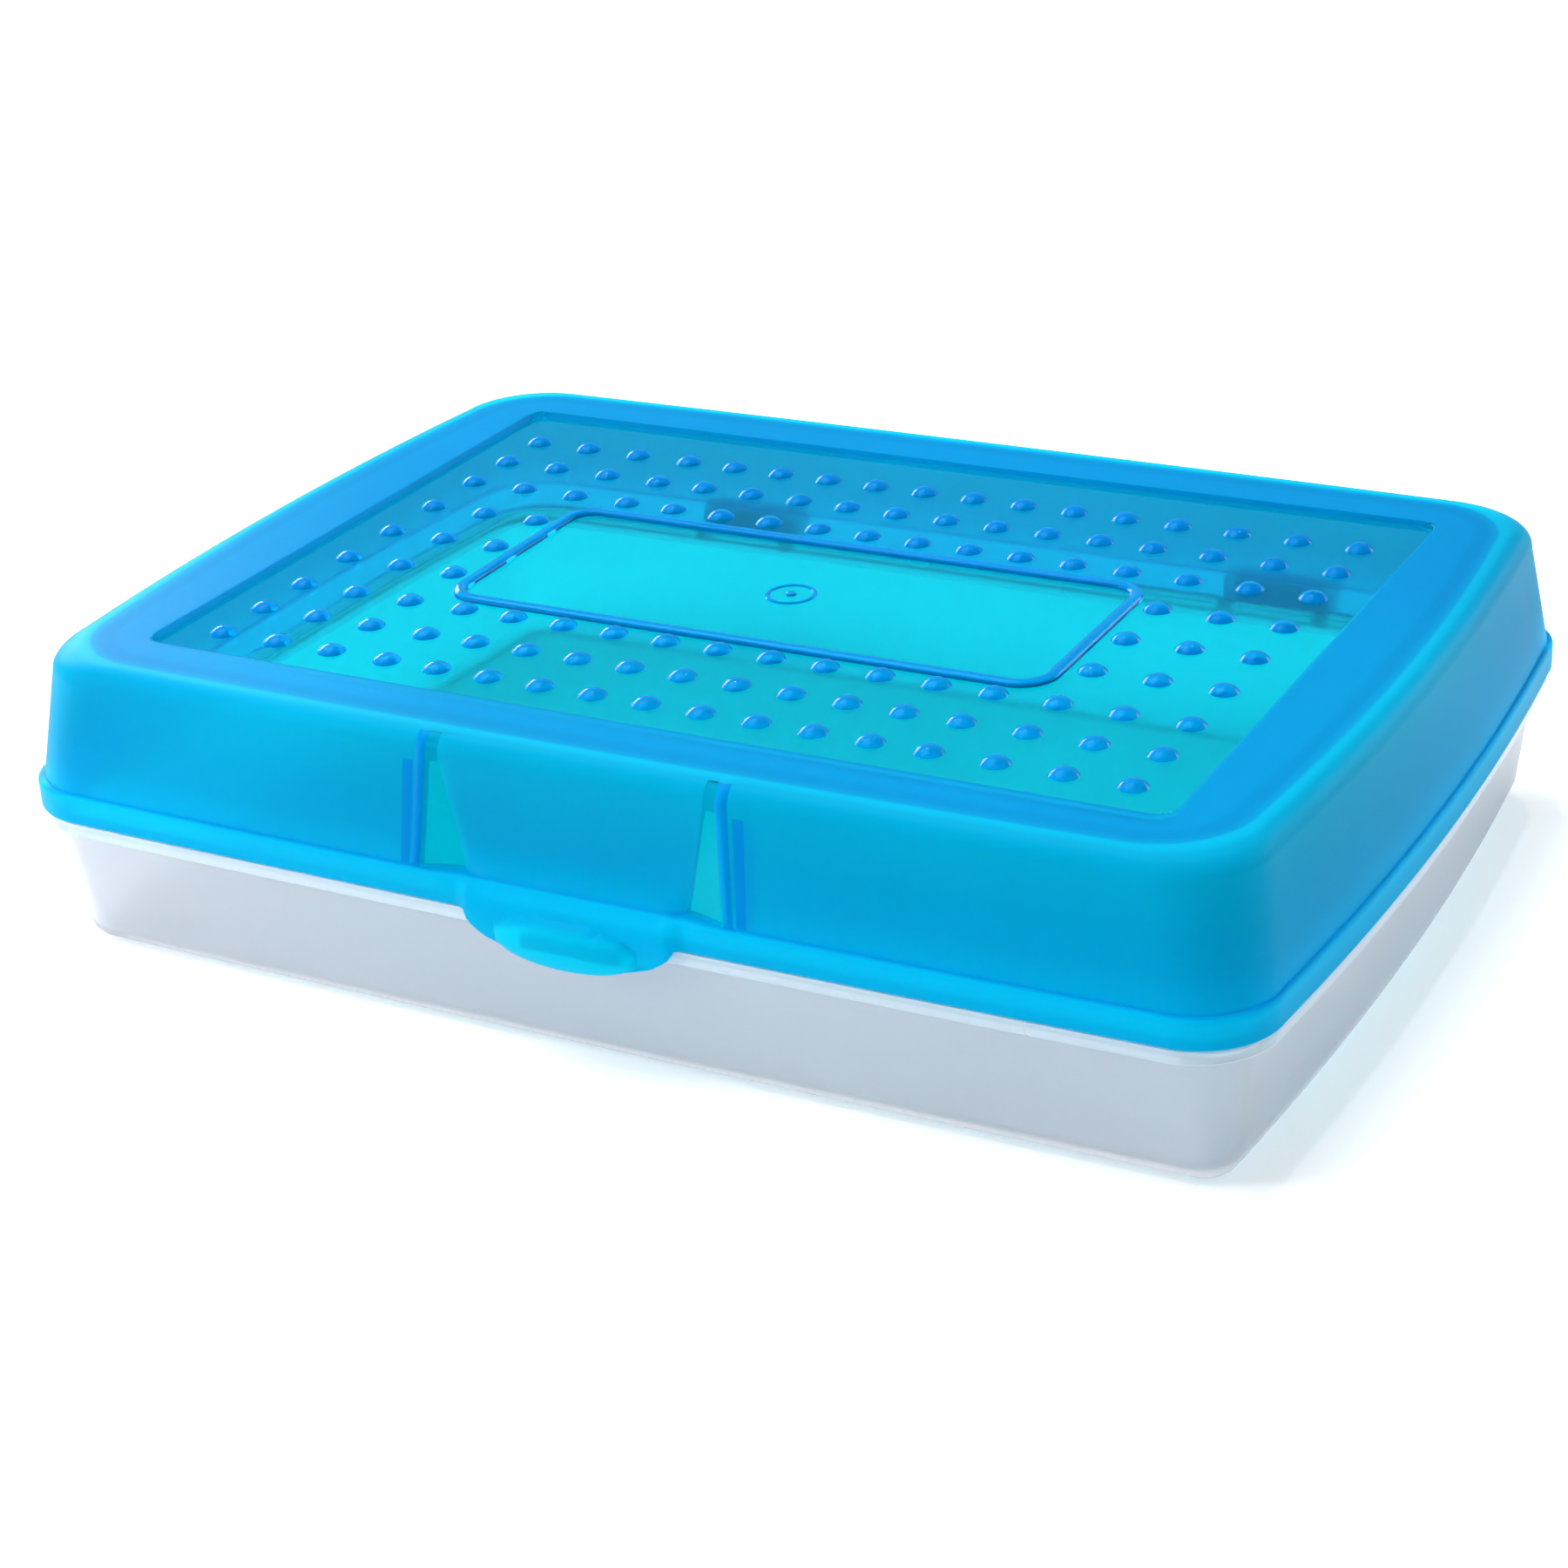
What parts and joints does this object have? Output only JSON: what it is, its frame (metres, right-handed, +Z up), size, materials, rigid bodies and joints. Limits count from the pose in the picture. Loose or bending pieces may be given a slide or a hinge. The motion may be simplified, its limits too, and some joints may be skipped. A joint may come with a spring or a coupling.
{
  "type": "pencil case",
  "caption": "Shallow rectangular plastic pencil case: clear flanged tray, blue translucent hinged lid with raised dots and a framed label area, and a front latch tab.",
  "frame": {"origin": "middle of the footprint, on the surface the case stands on", "axes": "+X along the long side, +Y towards the hinged back (the latch faces -Y), +Z up through the lid"},
  "size_m": [0.213, 0.1613, 0.05],
  "materials": {
    "frosted_clear": "finely frosted translucent polypropylene",
    "clear_edge": "clear polypropylene, polished",
    "frosted_blue": "finely frosted translucent blue polypropylene",
    "blue_edge": "satin translucent blue polypropylene",
    "gloss_blue": "polished translucent blue polypropylene"
  },
  "bodies": {
    "base": {"base_tray": "frosted_clear", "base_flange": "clear_edge", "hinge_bracket_left": "clear_edge", "hinge_bracket_right": "clear_edge", "hinge_pin_left": "clear_edge", "hinge_pin_right": "clear_edge"},
    "lid": {"lid_shell": "frosted_blue", "lid_rim": "blue_edge", "lid_dots": "gloss_blue", "label_frame": "gloss_blue", "gate_mark": "gloss_blue", "hinge_clip_left": "blue_edge", "hinge_clip_right": "blue_edge"},
    "latch": {"latch_tab": "blue_edge"}
  },
  "joints": [
    {"name": "lid_hinge", "type": "hinge", "parent": "base", "child": "lid", "pos_m": [0, 0.0776, 0.0252], "axis": [-1, 0, 0], "range_deg": [0, 180]},
    {"name": "latch_flex", "type": "hinge", "parent": "lid", "child": "latch", "pos_m": [0, -0.0747, 0.0284], "axis": [-1, 0, 0], "range_deg": [0, 10], "stiffness_Nm_per_rad": 0.1}
  ]
}
